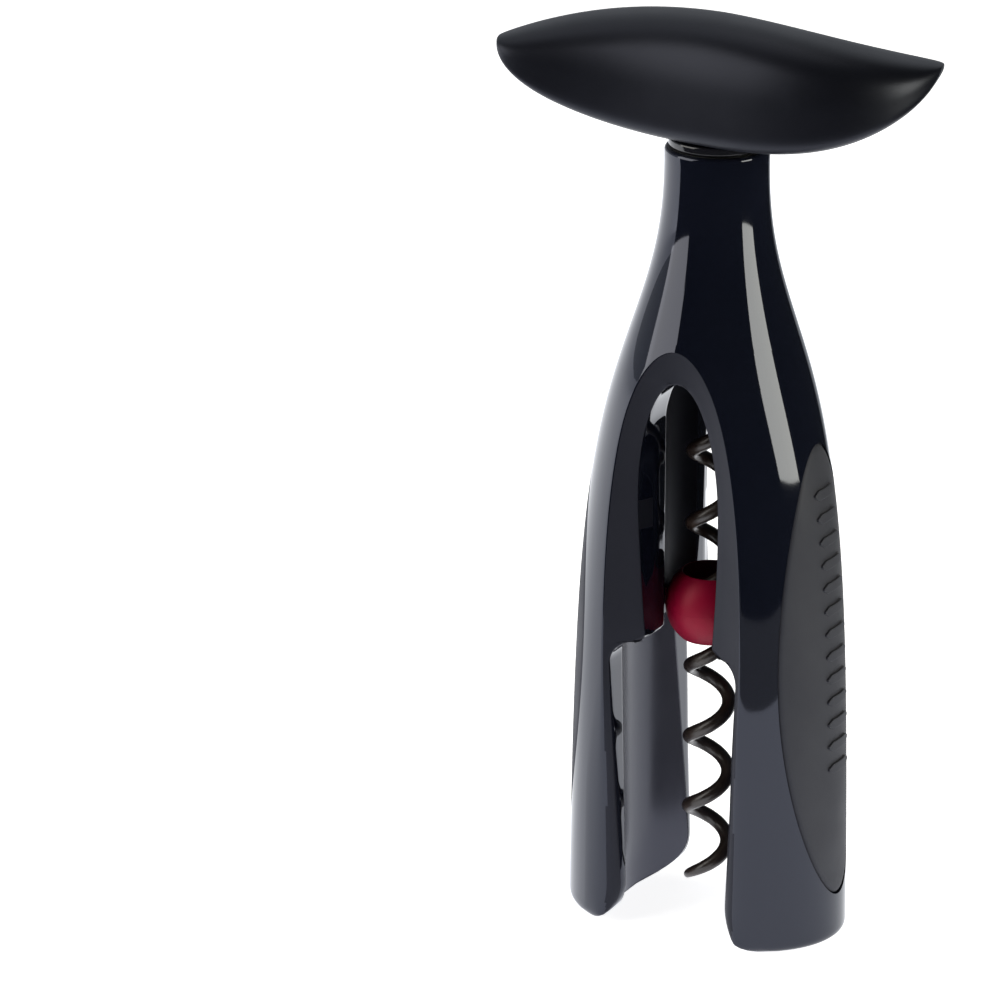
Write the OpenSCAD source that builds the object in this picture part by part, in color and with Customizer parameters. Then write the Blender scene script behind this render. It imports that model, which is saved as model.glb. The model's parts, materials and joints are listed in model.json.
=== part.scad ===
// Self-pulling corkscrew: a two-legged body that stands over the bottle neck, a turn
// handle with a long worm, and a ball nut on the worm that is held between the legs.
// Millimetres. The legs stand on Z = 0 at X+ and X-, the arches face Y- and Y+.

/* [Body] */
// Height of the body, from the leg ends to the neck rim
body_h = 142; // [118:1:171]
// Width across the two legs at the base
body_w = 52.2; // [43:0.2:63]
// Depth front to back, below the shoulders
body_d = 36.8; // [32:0.2:44.2]
// Wall of the neck outside the bushes' flanges
neck_wall = 1.05; // [0.8:0.05:4]
// Diameter of the space between the legs that takes the bottle neck
bottle_dia = 31.5; // [26.2:0.1:37.8]
// Height of the shoulder that stops on the bottle's rim
stop_h = 54; // [44:1:60]
// Radius of the leg ends' inner corners
leg_corner_r = 8; // [2:0.5:10]

/* [Arch openings] */
// Top of the opening above the leg ends
arch_top_h = 103; // [90:1:108]
// Half width of the opening at its widest point above the shoulder
arch_half_w = 7.7; // [6.6:0.1:7.8]
// Height of the opening's long round top
arch_rise = 22.7; // [8:0.1:26]
// Half width of the gap between the legs at the leg ends
gap_half_w = 9.6; // [8:0.1:12]
// Half width of the gap between the legs just below the shoulder
gap_top_half_w = 12.3; // [10:0.1:13.2]
// Height of the flat band above the opening
band_h = 6; // [2:0.5:8]
// Height of the domed end of the hollow that the band lies on
dome_l = 48; // [16:1:60]
// Radius of the hollow
scoop_r = 26; // [20:1:40]
// Distance from the axis to the deepest line of the hollow
scoop_y = 11.7; // [10.5:0.1:13]

/* [Ball nut] */
// Diameter of the ball
ball_dia = 16; // [13.3:0.1:19.2]
// Height of the ball's centre at rest
ball_h = 58.5; // [50:0.5:64]
// Clearance round the ball in its bore
ball_gap = 0.6; // [0.3:0.05:1]
// Half width of the slot that keeps the ball in
slot_half_w = 6; // [4:0.1:6.6]
// Wall of the nut inside the ball, outside the worm
nut_wall = 1.1; // [0.8:0.1:1.4]
// Height of the nut
nut_h = 6; // [4:0.5:8]

/* [Worm] */
// Outside diameter of the worm
worm_dia = 9.4; // [7.8:0.1:11.3]
// Diameter of the worm's wire
wire_dia = 2.5; // [2:0.1:3]
// Rise of the worm in one turn
worm_pitch = 13.4; // [11:0.1:15]
// Height of the worm's tip above the leg ends
tip_h = 6; // [3:0.5:12]
// Direction of the wire's centre at the tip, in degrees from X+
tip_turn = 195; // [0:5:355]
// Diameter of the straight shank
shank_dia = 4.5; // [3.5:0.1:5]

/* [Handle] */
// Length of the handle, tip to tip
handle_l = 77; // [66:1:92]
// Width of the handle at its middle
handle_w = 22.2; // [20.4:0.2:28]
// How far each half of the handle sways to the side
handle_sway = 4.9; // [3:0.1:6]
// Height of the handle's crown above the neck rim
crown_rise = 22.7; // [19:0.1:30]
// Height of the handle's two tips above the neck rim
handle_tip_rise = 16.7; // [13:0.1:18]
// Height of the handle's keel above the neck rim, at its middle
keel_rise = 1.8; // [1.7:0.1:2.6]
// Turn of the handle's long axis at rest, in degrees from X+
handle_turn = 14.6; // [0:0.2:45]
// Thickness of the soft skin over the core
skin_t = 2.5; // [1.5:0.1:3]

/* [Hub and bearings] */
// Wall of the hub's collar outside the washers
collar_wall = 1.45; // [0.8:0.05:1.6]
// How much wider the hub's stem is than the worm
stem_over = 0; // [0:0.1:1]
// How far the stem reaches into the lower bush
stem_reach = 2.5; // [1:0.5:6]
// Running clearance of the stem in its bushes, on the radius
run_gap = 0.1; // [0.05:0.01:0.15]
// Wall of the bushes
bush_wall = 2.2; // [1.6:0.1:2.6]
// How far the bushes' flanges stand out past their sleeves
flange_out = 1; // [0.5:0.1:1.2]
// Thickness of the bushes' flanges
flange_t = 1.2; // [0.8:0.1:2]
// Thickness of the thrust washer
thrust_t = 0.6; // [0.4:0.1:1]
// Thickness of the slip washer
slip_t = 0.5; // [0.4:0.1:1]
// Free height between the washers and what they run on
face_gap = 0.05; // [0.03:0.01:0.1]

/* [Grip pads] */
// Height of the pads' centres
pad_h = 50; // [44:1:56]
// Height of a pad from end to end
pad_l = 83; // [60:1:84]
// Width of a pad from edge to edge
pad_w = 23.6; // [18:0.2:26]
// Thickness of the soft pad
pad_t = 1.6; // [1:0.1:2]
// Thickness of the carrier behind the pad
carrier_t = 0.8; // [0.6:0.1:1.2]
// Width of the groove round a pad
pad_groove = 0.25; // [0.1:0.05:0.5]

/* [Hidden] */
$fn = 64;

over = 1;                        // how far a cut runs past the face it opens
bottle_r = bottle_dia / 2;
ball_r = ball_dia / 2;
bore_r = ball_r + ball_gap;
worm_r = worm_dia / 2;
coil_r = worm_r - wire_dia / 2;  // from the axis to the wire's centre
nut_r = worm_r + nut_wall;
stem_r = worm_r + stem_over / 2;
bush_r = stem_r + run_gap + bush_wall;
flange_r = bush_r + flange_out;
neck_r = flange_r + neck_wall;

// Body form: the neck swells into the legs along one smooth curve
swell_rate = 2.8;
swell_mid = 0.3;
flat_rate = 12;                  // how sharply the depth stops growing
base_edge_r = 1.5;
rim_edge_r = 0.6;
ring_step = 5.2;
body_sides = 44;

// Levels in the neck
bush_top_l = 14;
bush_low_l = 6;
bush_low_h = arch_top_h + 3.5;   // underside of the lower bush's sleeve
stem_h = bush_low_h + bush_low_l - stem_reach;
clip_r = stem_r + 1.2;
clip_t = 0.8;
clip_drop = 1;                   // from the rim down to the clip's underside
clip_groove = 0.4;
clip_well_r = clip_r + 0.3;
clip_well_d = 1.8;

// Levels above the rim
keel_h = body_h + keel_rise;
thrust_h = body_h + face_gap;
slip_h = thrust_h + thrust_t + face_gap;
washer_roof_h = slip_h + slip_t + face_gap;
washer_r = stem_r + 2.1;
washer_gap = 0.15;
collar_r = washer_r + washer_gap + collar_wall;
collar_h = body_h + 0.3;
boss_r = washer_r + 0.4;
boss_top_h = keel_h + 3.2;
socket_r = 4;
socket_l = 9;
shank_top_h = boss_top_h + 8;
pin_h = boss_top_h + 4.5;
pin_r = 1;
pin_l = 12;
screw_ring_r = stem_r + 0.5;
screw_r = 1;
screw_head_r = 1.7;
screw_head_t = 1.2;
screw_l = 8;
screw_sink = 0.2;

// Ball nut keys and their grooves in the body
key_r = ball_r + 1.2;
key_half_w = 1;
key_h = 3;
key_gap = 0.3;
wire_gap = 0.3;

// Bottle seat and pads
seat_t = 1.2;
seat_in_r = bore_r + 0.8;
seat_half_gap = gap_top_half_w + 0.2;
glue_gap = 0.05;                 // film of glue between a pad and its carrier

// Share of the way from the neck's radius to the base's, u = 0 at the rim and 1 at the base
function swell(u) = u <= 0 ? 0 : (1 + pow(swell_mid, swell_rate)) * pow(u, swell_rate)
    / (pow(u, swell_rate) + pow(swell_mid, swell_rate));
function half_width(z) = neck_r + (body_w / 2 - neck_r) * swell(1 - z / body_h);
function half_depth(z) = let (w = half_width(z))
    w * pow(1 + pow(2 * w / body_d, flat_rate), -1 / flat_rate);
// How far the surface is drawn in by a rounded edge of radius r at distance d from the end
function edge_inset(d, r) = d >= r ? 0 : r - sqrt(r * r - pow(r - d, 2));
// X of the body's outside at a given Y and Z
function side_x(y, z) = half_width(z) * sqrt(1 - pow(y / half_depth(z), 2));

body_levels = concat([0, base_edge_r * 0.3, base_edge_r],
    [for (z = [ring_step : ring_step : body_h - ring_step / 2]) z],
    [body_h - rim_edge_r, body_h - rim_edge_r * 0.3, body_h]);

module ring_stack(rings) {
    sides = len(rings[0]);
    last = len(rings) - 1;
    points = [for (ring = rings) each ring];
    skin = [for (i = [0 : last - 1]) for (j = [0 : sides - 1]) let (k = (j + 1) % sides)
        each [[i * sides + j, (i + 1) * sides + j, i * sides + k],
              [i * sides + k, (i + 1) * sides + j, (i + 1) * sides + k]]];
    bottom = [[for (j = [0 : sides - 1]) j]];
    top = [[for (j = [sides - 1 : -1 : 0]) last * sides + j]];
    polyhedron(points, concat(skin, bottom, top), convexity = 8);
}

module body_form() {
    ring_stack([for (z = body_levels)
        let (inset = edge_inset(z, base_edge_r) + edge_inset(body_h - z, rim_edge_r),
             w = half_width(z) - inset, d = half_depth(z) - inset)
        [for (j = [0 : body_sides - 1]) let (a = 360 * j / body_sides)
            [w * cos(a), d * sin(a), z]]]);
}

// Outline of the gap between the legs and of the opening above it, seen from the front
module gap_outline() {
    corner_r = 4;
    shoulder_h = stop_h + 0.5;
    polygon([[-gap_half_w, -over], [-gap_top_half_w, shoulder_h - corner_r],
             [-gap_top_half_w + corner_r, shoulder_h], [gap_top_half_w - corner_r, shoulder_h],
             [gap_top_half_w, shoulder_h - corner_r], [gap_half_w, -over]]);
    for (side = [-1, 1])
        translate([side * (gap_top_half_w - corner_r), shoulder_h - corner_r])
            circle(corner_r);
    // leg ends' inner corners
    for (side = [-1, 1])
        translate([side * gap_half_w, 0])
            difference() {
                translate([side > 0 ? -over : -leg_corner_r, -over])
                    square([leg_corner_r + over, leg_corner_r + over]);
                translate([side * leg_corner_r, leg_corner_r])
                    circle(leg_corner_r);
            }
}

// Outline of the opening above the shoulder, no wider than a half width
module arch_outline(half_w) {
    round_h = arch_top_h - arch_rise;
    foot_w = slot_half_w + 0.5;
    intersection() {
        polygon(concat([[foot_w, stop_h - over]],
            [for (a = [0 : 7.5 : 180]) [arch_half_w * cos(a), round_h + arch_rise * sin(a)]],
            [[-foot_w, stop_h - over]]));
        translate([-half_w, 0])
            square([2 * half_w, body_h]);
    }
}

module through(y_from, y_to) {
    translate([0, y_to, 0])
        rotate([90, 0, 0])
            linear_extrude(y_to - y_from)
                children();
}

// Hollow channel down one face of the body, closed by a dome at the top
module scoop() {
    dome_drop = scoop_r + scoop_y - half_depth(arch_top_h + band_h);
    dome_h = arch_top_h + band_h - dome_l;
    stretch = dome_l / sqrt(scoop_r * scoop_r - dome_drop * dome_drop);
    translate([0, -scoop_y - scoop_r, 0])
        rotate_extrude($fn = 96)
            polygon(concat([[0, -over], [scoop_r, -over]],
                [for (a = [0 : 4 : 88])
                    [scoop_r * cos(a), dome_h + scoop_r * stretch * sin(a)]],
                [[0, dome_h + scoop_r * stretch]]));
}

// Curved layer under the right leg's oval, from one depth to another below the surface
module oval_layer(edge_inset, from_depth, to_depth) {
    sides = 32;
    steps = 4;
    half_l = pad_l / 2 - edge_inset;
    half_w = pad_w / 2 - edge_inset;
    function spot(k, j) = let (a = 360 * j / sides)
        [half_w * k / steps * cos(a), pad_h + half_l * k / steps * sin(a)];
    function sheet(depth) = concat([[side_x(0, pad_h) - depth, 0, pad_h]],
        [for (k = [1 : steps]) for (j = [0 : sides - 1]) let (s = spot(k, j))
            [side_x(s[0], s[1]) - depth, s[0], s[1]]]);
    function at(k, j) = k == 0 ? 0 : 1 + (k - 1) * sides + (j % sides);
    count = 1 + steps * sides;
    face = [for (j = [0 : sides - 1]) each concat([[0, at(1, j + 1), at(1, j)]],
        [for (k = [1 : steps - 1]) each [[at(k, j), at(k, j + 1), at(k + 1, j)],
            [at(k, j + 1), at(k + 1, j + 1), at(k + 1, j)]]])];
    flipped = [for (f = face) [f[0] + count, f[2] + count, f[1] + count]];
    wall = [for (j = [0 : sides - 1]) each
        [[at(steps, j), at(steps, j + 1), at(steps, j) + count],
         [at(steps, j + 1), at(steps, j + 1) + count, at(steps, j) + count]]];
    polyhedron(concat(sheet(from_depth), sheet(to_depth)), concat(face, flipped, wall),
        convexity = 4);
}

module body_shell() {
    color([0.03, 0.035, 0.06])
        difference() {
            body_form();
            translate([0, 0, -over])
                cylinder(h = stop_h + over, r = bottle_r);
            cylinder(h = bush_low_h - flange_t, r = bore_r);
            cylinder(h = bush_low_h, r = flange_r);
            cylinder(h = body_h + over, r = bush_r);
            translate([0, 0, body_h - flange_t])
                cylinder(h = flange_t + over, r = flange_r);
            through(-body_d, body_d)
                gap_outline();
            through(-body_d, body_d)
                arch_outline(slot_half_w);
            for (side = [-1, 1])
                through(side < 0 ? -body_d : bore_r + 1.4, side < 0 ? -bore_r - 1.4 : body_d)
                    arch_outline(arch_half_w);
            scoop();
            mirror([0, 1, 0])
                scoop();
            // grooves for the nut's keys
            translate([-key_r - key_gap, -key_half_w - key_gap, stop_h - over])
                cube([2 * (key_r + key_gap), 2 * (key_half_w + key_gap),
                      arch_top_h - stop_h + over]);
            oval_layer(0, -4, pad_t + carrier_t);
            rotate([0, 0, 180])
                oval_layer(0, -4, pad_t + carrier_t);
        }
}

module grip_pad_right() {
    color([0.2, 0.21, 0.22])
        oval_layer(pad_groove, 0, pad_t - glue_gap);
}

module grip_pad_left() {
    rotate([0, 0, 180])
        grip_pad_right();
}

module pad_carrier_right() {
    color([0.1, 0.1, 0.11])
        oval_layer(0, pad_t, pad_t + carrier_t);
}

module pad_carrier_left() {
    rotate([0, 0, 180])
        pad_carrier_right();
}

// Two soft crescents under the shoulder, one on each leg
module bottle_seat() {
    color([0.16, 0.16, 0.17])
        for (side = [0, 180])
            rotate([0, 0, side])
                intersection() {
                    translate([0, 0, stop_h - seat_t])
                        difference() {
                            cylinder(h = seat_t, r = bottle_r);
                            translate([0, 0, -over])
                                cylinder(h = seat_t + 2 * over, r = seat_in_r);
                        }
                    translate([seat_half_gap, -body_d / 4, 0])
                        cube([body_w, body_d / 2, body_h]);
                }
}

module neck_bush_upper() {
    color([0.14, 0.14, 0.15])
        difference() {
            union() {
                translate([0, 0, body_h - bush_top_l])
                    cylinder(h = bush_top_l, r = bush_r);
                translate([0, 0, body_h - flange_t])
                    cylinder(h = flange_t, r = flange_r);
            }
            translate([0, 0, body_h - bush_top_l - over])
                cylinder(h = bush_top_l + 2 * over, r = stem_r + run_gap);
            translate([0, 0, body_h - clip_well_d])
                cylinder(h = clip_well_d + over, r = clip_well_r);
        }
}

module neck_bush_lower() {
    color([0.14, 0.14, 0.15])
        difference() {
            union() {
                translate([0, 0, bush_low_h])
                    cylinder(h = bush_low_l, r = bush_r);
                translate([0, 0, bush_low_h - flange_t])
                    cylinder(h = flange_t, r = flange_r);
            }
            translate([0, 0, bush_low_h - flange_t - over])
                cylinder(h = bush_low_l + flange_t + 2 * over, r = stem_r + run_gap);
        }
}

module washer(z, t) {
    translate([0, 0, z])
        difference() {
            cylinder(h = t, r = washer_r);
            translate([0, 0, -over])
                cylinder(h = t + 2 * over, r = stem_r + washer_gap);
        }
}

module thrust_washer() {
    color([0.14, 0.14, 0.15])
        washer(thrust_h, thrust_t);
}

module slip_washer() {
    color([0.7, 0.71, 0.73])
        washer(slip_h, slip_t);
}

module screw_places() {
    for (side = [0, 180])
        rotate([0, 0, handle_turn + side])
            translate([screw_ring_r, 0, washer_roof_h])
                children();
}

module handle_hub() {
    color([0.05, 0.05, 0.06])
        difference() {
            union() {
                translate([0, 0, collar_h])
                    cylinder(h = keel_h - collar_h, r = collar_r);
                translate([0, 0, keel_h])
                    cylinder(h = boss_top_h - keel_h, r = boss_r);
                translate([0, 0, stem_h])
                    cylinder(h = keel_h - stem_h, r = stem_r);
            }
            // room for the washers, round the stem
            translate([0, 0, collar_h - over])
                difference() {
                    cylinder(h = washer_roof_h - collar_h + over, r = washer_r + washer_gap);
                    cylinder(h = washer_roof_h - collar_h + over, r = stem_r);
                }
            // groove for the clip
            translate([0, 0, body_h - clip_drop])
                difference() {
                    cylinder(h = clip_t, r = stem_r + over);
                    cylinder(h = clip_t, r = stem_r - clip_groove);
                }
            translate([0, 0, stem_h - over])
                cylinder(h = boss_top_h - stem_h + 2 * over, r = shank_dia / 2);
            screw_places()
                cylinder(h = screw_sink + screw_head_t, r = screw_head_r);
            screw_places()
                cylinder(h = screw_l, r = screw_r);
        }
}

module washer_clip() {
    color([0.6, 0.6, 0.62])
        translate([0, 0, body_h - clip_drop])
            difference() {
                cylinder(h = clip_t, r = clip_r);
                translate([0, 0, -over])
                    cylinder(h = clip_t + 2 * over, r = stem_r - clip_groove);
                // the clip's open side
                translate([0, -shank_dia / 2, -over])
                    cube([clip_r + over, shank_dia, clip_t + 2 * over]);
            }
}

module hub_screws() {
    color([0.72, 0.73, 0.75])
        screw_places() {
            translate([0, 0, screw_sink])
                cylinder(h = screw_head_t, r = screw_head_r);
            translate([0, 0, screw_sink + screw_head_t])
                cylinder(h = screw_l - screw_sink - screw_head_t, r = screw_r);
        }
}

// Handle form. t runs from -1 to 1 along the handle.
plan_power = 4.1;
plan_round = 0.4;
crown_power = 1.77;
keel_power = 2.37;
keel_round = 0.59;
edge_share = 0.42;               // height of the widest line, as a share of the section
crown_bulge = 2.54;
keel_bulge = 6;
sway_peak = 2.598;               // makes the largest sway equal to handle_sway

function plan_half(t, inset) =
    (handle_w / 2) * pow(max(0, 1 - pow(abs(t), plan_power)), plan_round) - inset;
function sway(t) = -handle_sway * sway_peak * t * (1 - t * t);
function crown(t) = body_h + handle_tip_rise
    + (crown_rise - handle_tip_rise) * (1 - pow(abs(t), crown_power));
function keel(t) = body_h + handle_tip_rise - (handle_tip_rise - keel_rise)
    * pow(max(0, 1 - pow(abs(t), keel_power)), keel_round);
// One point of the section at t, a degrees round from the side, drawn in by inset
function handle_point(t, a, inset) =
    let (c = cos(a), s = sin(a),
         n = s >= 0 ? crown_bulge : keel_bulge,
         r = pow(pow(abs(c), n) + pow(abs(s), n), -1 / n),
         edge = keel(t) + (crown(t) - keel(t)) * edge_share,
         rise = s >= 0 ? crown(t) - inset - edge : edge - keel(t) - inset)
    [handle_l / 2 * t, sway(t) + plan_half(t, inset) * c * r, edge + rise * s * r];

module handle_form(inset, reach, rings, sides) {
    rotate([0, 0, handle_turn])
        ring_stack([for (i = [0 : rings]) let (t = -reach * cos(180 * i / rings))
            [for (j = [0 : sides - 1])
                handle_point(t, 360 * j / sides, inset)]]);
}

tip_reach = 0.998;
core_reach = 0.8;
module core_form() {
    handle_form(skin_t, core_reach, 16, 24);
}

module handle_core() {
    color([0.25, 0.25, 0.27])
        difference() {
            core_form();
            cylinder(h = boss_top_h, r = boss_r);
            translate([0, 0, boss_top_h - over])
                cylinder(h = socket_l + over, r = socket_r);
            translate([0, 0, pin_h])
                rotate([90, 0, handle_turn])
                    cylinder(h = pin_l, r = pin_r, center = true);
            screw_places()
                cylinder(h = screw_l, r = screw_r);
        }
}

module handle_grip() {
    color([0.07, 0.07, 0.08])
        difference() {
            handle_form(0, tip_reach, 32, 36);
            core_form();
            cylinder(h = boss_top_h, r = boss_r);
        }
}

module worm_socket() {
    color("goldenrod")
        translate([0, 0, boss_top_h])
            difference() {
                cylinder(h = socket_l, r = socket_r);
                translate([0, 0, -over])
                    cylinder(h = shank_top_h - boss_top_h + over, r = shank_dia / 2);
                translate([0, 0, pin_h - boss_top_h])
                    rotate([90, 0, handle_turn])
                        cylinder(h = pin_l, r = pin_r, center = true);
            }
}

module worm_pin() {
    color([0.72, 0.73, 0.75])
        translate([0, 0, pin_h])
            rotate([90, 0, handle_turn])
                cylinder(h = pin_l, r = pin_r, center = true);
}

// Tube along the worm's centre line from one height to another. The wire tapers over the
// first taper_l above z_tip and turns in to the axis over run_in below z_top.
module coil(z_from, z_to, wire_r, taper_l, run_in) {
    per_turn = 16;
    sides = 8;
    steps = ceil((z_to - z_from) / worm_pitch * per_turn);
    lean = atan2(worm_pitch, 2 * PI * coil_r);
    ring_stack([for (i = [0 : steps])
        let (z = z_from + (z_to - z_from) * i / steps,
             a = tip_turn + 360 * (z - tip_h) / worm_pitch,
             thin = taper_l > 0 ? min(1, 0.16 + (z - z_from) / taper_l) : 1,
             run = run_in > 0 ? min(1, max(0, (z_to - z) / run_in)) : 1,
             r = coil_r * sqrt(run))
        [for (j = [0 : sides - 1]) let (b = -360 * j / sides,
            out = wire_r * thin * cos(b), up = wire_r * thin * sin(b))
            [(r + out) * cos(a) + up * sin(lean) * sin(a),
             (r + out) * sin(a) - up * sin(lean) * cos(a),
             z + up * cos(lean)]]]);
}

module worm() {
    run_in = 4;
    color([0.16, 0.13, 0.12])
        difference() {
            union() {
                coil(tip_h, stem_h - over, wire_dia / 2, 9, run_in);
                translate([0, 0, stem_h - run_in])
                    cylinder(h = shank_top_h - stem_h + run_in, r = shank_dia / 2);
            }
            translate([0, 0, pin_h])
                rotate([90, 0, handle_turn])
                    cylinder(h = pin_l, r = pin_r, center = true);
        }
}

module ball_half(flip) {
    translate([0, 0, ball_h])
        rotate([flip, 0, 0])
            difference() {
                intersection() {
                    sphere(ball_r, $fn = 96);
                    translate([-ball_dia, -ball_dia, 0])
                        cube([2 * ball_dia, 2 * ball_dia, ball_r]);
                }
                translate([0, 0, -over])
                    cylinder(h = nut_h / 2 + over, r = nut_r);
                cylinder(h = ball_r + over, r = worm_r + wire_gap);
                translate([-ball_r - over, -key_half_w, -key_h / 2])
                    cube([ball_dia + 2 * over, 2 * key_half_w, key_h]);
            }
}

module ball_upper() {
    color([0.63, 0.02, 0.12])
        ball_half(0);
}

module ball_lower() {
    color([0.63, 0.02, 0.12])
        ball_half(180);
}

module ball_nut() {
    color([0.3, 0.05, 0.08])
        difference() {
            union() {
                translate([0, 0, ball_h - nut_h / 2])
                    cylinder(h = nut_h, r = nut_r);
                translate([-key_r, -key_half_w, ball_h - key_h / 2])
                    cube([2 * key_r, 2 * key_half_w, key_h]);
            }
            coil(ball_h - nut_h, ball_h + nut_h, wire_dia / 2 + wire_gap, 0, 0);
        }
}

body_shell();
grip_pad_right();
grip_pad_left();
pad_carrier_right();
pad_carrier_left();
bottle_seat();
neck_bush_upper();
neck_bush_lower();
thrust_washer();
slip_washer();
handle_hub();
handle_core();
handle_grip();
hub_screws();
worm();
worm_socket();
worm_pin();
washer_clip();
ball_upper();
ball_lower();
ball_nut();
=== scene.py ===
import json
import math

import bmesh
import bpy
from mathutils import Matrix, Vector

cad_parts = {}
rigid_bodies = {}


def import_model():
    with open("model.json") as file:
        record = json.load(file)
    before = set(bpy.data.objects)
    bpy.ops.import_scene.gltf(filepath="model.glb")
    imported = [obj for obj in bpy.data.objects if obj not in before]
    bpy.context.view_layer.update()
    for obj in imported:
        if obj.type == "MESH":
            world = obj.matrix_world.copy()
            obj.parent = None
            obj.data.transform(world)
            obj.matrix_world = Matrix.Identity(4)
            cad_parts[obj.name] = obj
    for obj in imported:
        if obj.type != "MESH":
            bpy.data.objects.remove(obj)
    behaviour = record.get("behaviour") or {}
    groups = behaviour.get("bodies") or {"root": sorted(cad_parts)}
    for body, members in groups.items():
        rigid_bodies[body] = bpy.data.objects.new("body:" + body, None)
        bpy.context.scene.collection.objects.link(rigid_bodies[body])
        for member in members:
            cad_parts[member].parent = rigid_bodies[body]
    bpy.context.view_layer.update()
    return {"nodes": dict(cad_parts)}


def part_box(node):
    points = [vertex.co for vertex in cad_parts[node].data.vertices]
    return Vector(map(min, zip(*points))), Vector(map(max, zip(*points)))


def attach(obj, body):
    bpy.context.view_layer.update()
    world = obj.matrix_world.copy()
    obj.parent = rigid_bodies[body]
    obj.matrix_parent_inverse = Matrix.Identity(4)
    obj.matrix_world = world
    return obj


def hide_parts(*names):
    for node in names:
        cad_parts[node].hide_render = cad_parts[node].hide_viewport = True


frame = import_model()

# The empty scene's own cube, camera and lamp go
for item in [o for o in bpy.data.objects if o.name in ("Cube", "Camera", "Light")]:
    bpy.data.objects.remove(item)

MM = 0.001

# ---------------------------------------------------------------- sizes, in metres
# The body's height and half width are read from the frame
BODY_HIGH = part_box("body_shell")[1]
BODY_H = BODY_HIGH.z
HALF_W = BODY_HIGH.x

# Body form, as the CAD part has it
NECK_R = 9.05 * MM
HALF_D = 18.4 * MM
SWELL_RATE = 2.8
SWELL_MID = 0.3
FLAT_RATE = 12
BASE_EDGE = 1.5 * MM
RIM_EDGE = 0.6 * MM
STOP_H = 54 * MM
BOTTLE_R = 15.75 * MM
BORE_R = 8.6 * MM
GAP_HALF = 9.6 * MM
GAP_TOP_HALF = 12.3 * MM
GAP_CORNER = 4 * MM
LEG_CORNER = 8 * MM
ARCH_HALF = 7.7 * MM
ARCH_FOOT = 6.5 * MM
ARCH_FOOT_H = 55.2 * MM
ARCH_TOP_H = 103 * MM
ARCH_RISE = 22.7 * MM
ARCH_ROUND_H = ARCH_TOP_H - ARCH_RISE
BAND_TOP_H = 109 * MM
SLOT_HALF = 6 * MM
SLOT_MOUTH_Y = 9.2 * MM
SCOOP_R = 26 * MM
SCOOP_Y = 11.7 * MM
DOME_L = 48 * MM
BODY_EDGE = 0.25 * MM
# The legs' front edges swell into a round nose towards the leg ends
NOSE_TOP = 56 * MM
NOSE_FULL = 22 * MM
NOSE_OUT = 5 * MM
NOSE_IN = 2.2 * MM
NOSE_FORWARD = 1.0 * MM

# Worm
WORM_R = 4.7 * MM
WIRE_R = 1.25 * MM
PITCH = 13.4 * MM
TIP_H = 6 * MM
TIP_TURN = math.radians(195)
SHANK_R = 2.25 * MM
STEM_H = 110 * MM
SHANK_TOP = 155 * MM
RUN_IN = 4 * MM
TIP_TAPER = 5 * MM

# Ball
BALL_H = 58.5 * MM
BALL_R = 8 * MM
BALL_HOLE_R = 5 * MM
BALL_PARTING = 0.006 * MM
BALL_LIP = 0.35 * MM
NUT_R = 5.8 * MM
NUT_HALF_H = 3 * MM

# Pads
PAD_H = 50 * MM
PAD_HALF_L = 41.5 * MM
PAD_HALF_W = 11.8 * MM
PAD_GROOVE = 0.3 * MM
PAD_DEEP = 0.9 * MM
PAD_EDGE = 0.45 * MM
PAD_SIDES = 128
RECESS_DEEP = PAD_DEEP + 0.05 * MM
RECESS_OUT = 9 * MM

# Ribs on the pads
RIB_COUNT = 13
RIB_LOW = 33 * MM
RIB_HIGH = 83 * MM
RIB_LONG = 7 * MM
RIB_WIDE = 1.7 * MM
RIB_PROUD = 0.4 * MM
RIB_SUNK = 0.5 * MM
RIB_EDGE = 0.22 * MM

# Handle
HANDLE_HALF = 38.48 * MM
HANDLE_W = 11.1 * MM
HANDLE_SWAY = 4.9 * MM
CROWN_H = 164.69 * MM
TIP_LEVEL = 158.7 * MM
KEEL_H = 143.8 * MM
HANDLE_TURN = math.radians(14.6)


# ---------------------------------------------------------------- mesh helpers
def deselect():
    for item in bpy.context.selected_objects:
        item.select_set(False)


def new_object(name, verts, faces):
    mesh = bpy.data.meshes.new(name)
    mesh.from_pydata(verts, [], faces)
    mesh.update()
    made = bpy.data.objects.new(name, mesh)
    bpy.context.scene.collection.objects.link(made)
    return made


def make_active(obj):
    deselect()
    obj.select_set(True)
    bpy.context.view_layer.objects.active = obj


def apply_modifier(obj, kind, **settings):
    make_active(obj)
    made = obj.modifiers.new(kind.lower(), kind)
    for key, value in settings.items():
        setattr(made, key, value)
    bpy.ops.object.modifier_apply(modifier=made.name)


def clean(obj, distance=1e-6):
    """Merges doubles, drops flat faces and points every face outwards."""
    work = bmesh.new()
    work.from_mesh(obj.data)
    bmesh.ops.remove_doubles(work, verts=work.verts, dist=distance)
    bmesh.ops.dissolve_degenerate(work, dist=distance, edges=work.edges)
    bmesh.ops.recalc_face_normals(work, faces=work.faces)
    work.to_mesh(obj.data)
    work.free()
    obj.data.update()


def smooth(obj, angle=30):
    make_active(obj)
    bpy.ops.object.shade_smooth_by_angle(angle=math.radians(angle))


def grid_faces(rows, columns, closed=False, offset=0):
    """Quads between rows of points; each row joins up with itself when closed."""
    faces = []
    for i in range(rows - 1):
        for j in range(columns if closed else columns - 1):
            k = (j + 1) % columns
            faces.append((offset + i * columns + j, offset + i * columns + k,
                          offset + (i + 1) * columns + k, offset + (i + 1) * columns + j))
    return faces


def span(start, end, count):
    """Points from start to end, both included, count steps apart."""
    return [start + (end - start) * i / count for i in range(count + 1)]


def finish_piece(obj, body, material, slot_name, *nodes):
    obj.data.materials.clear()
    obj.data.materials.append(material)
    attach(obj, body)
    if nodes:
        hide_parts(*nodes)
    return obj


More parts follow.
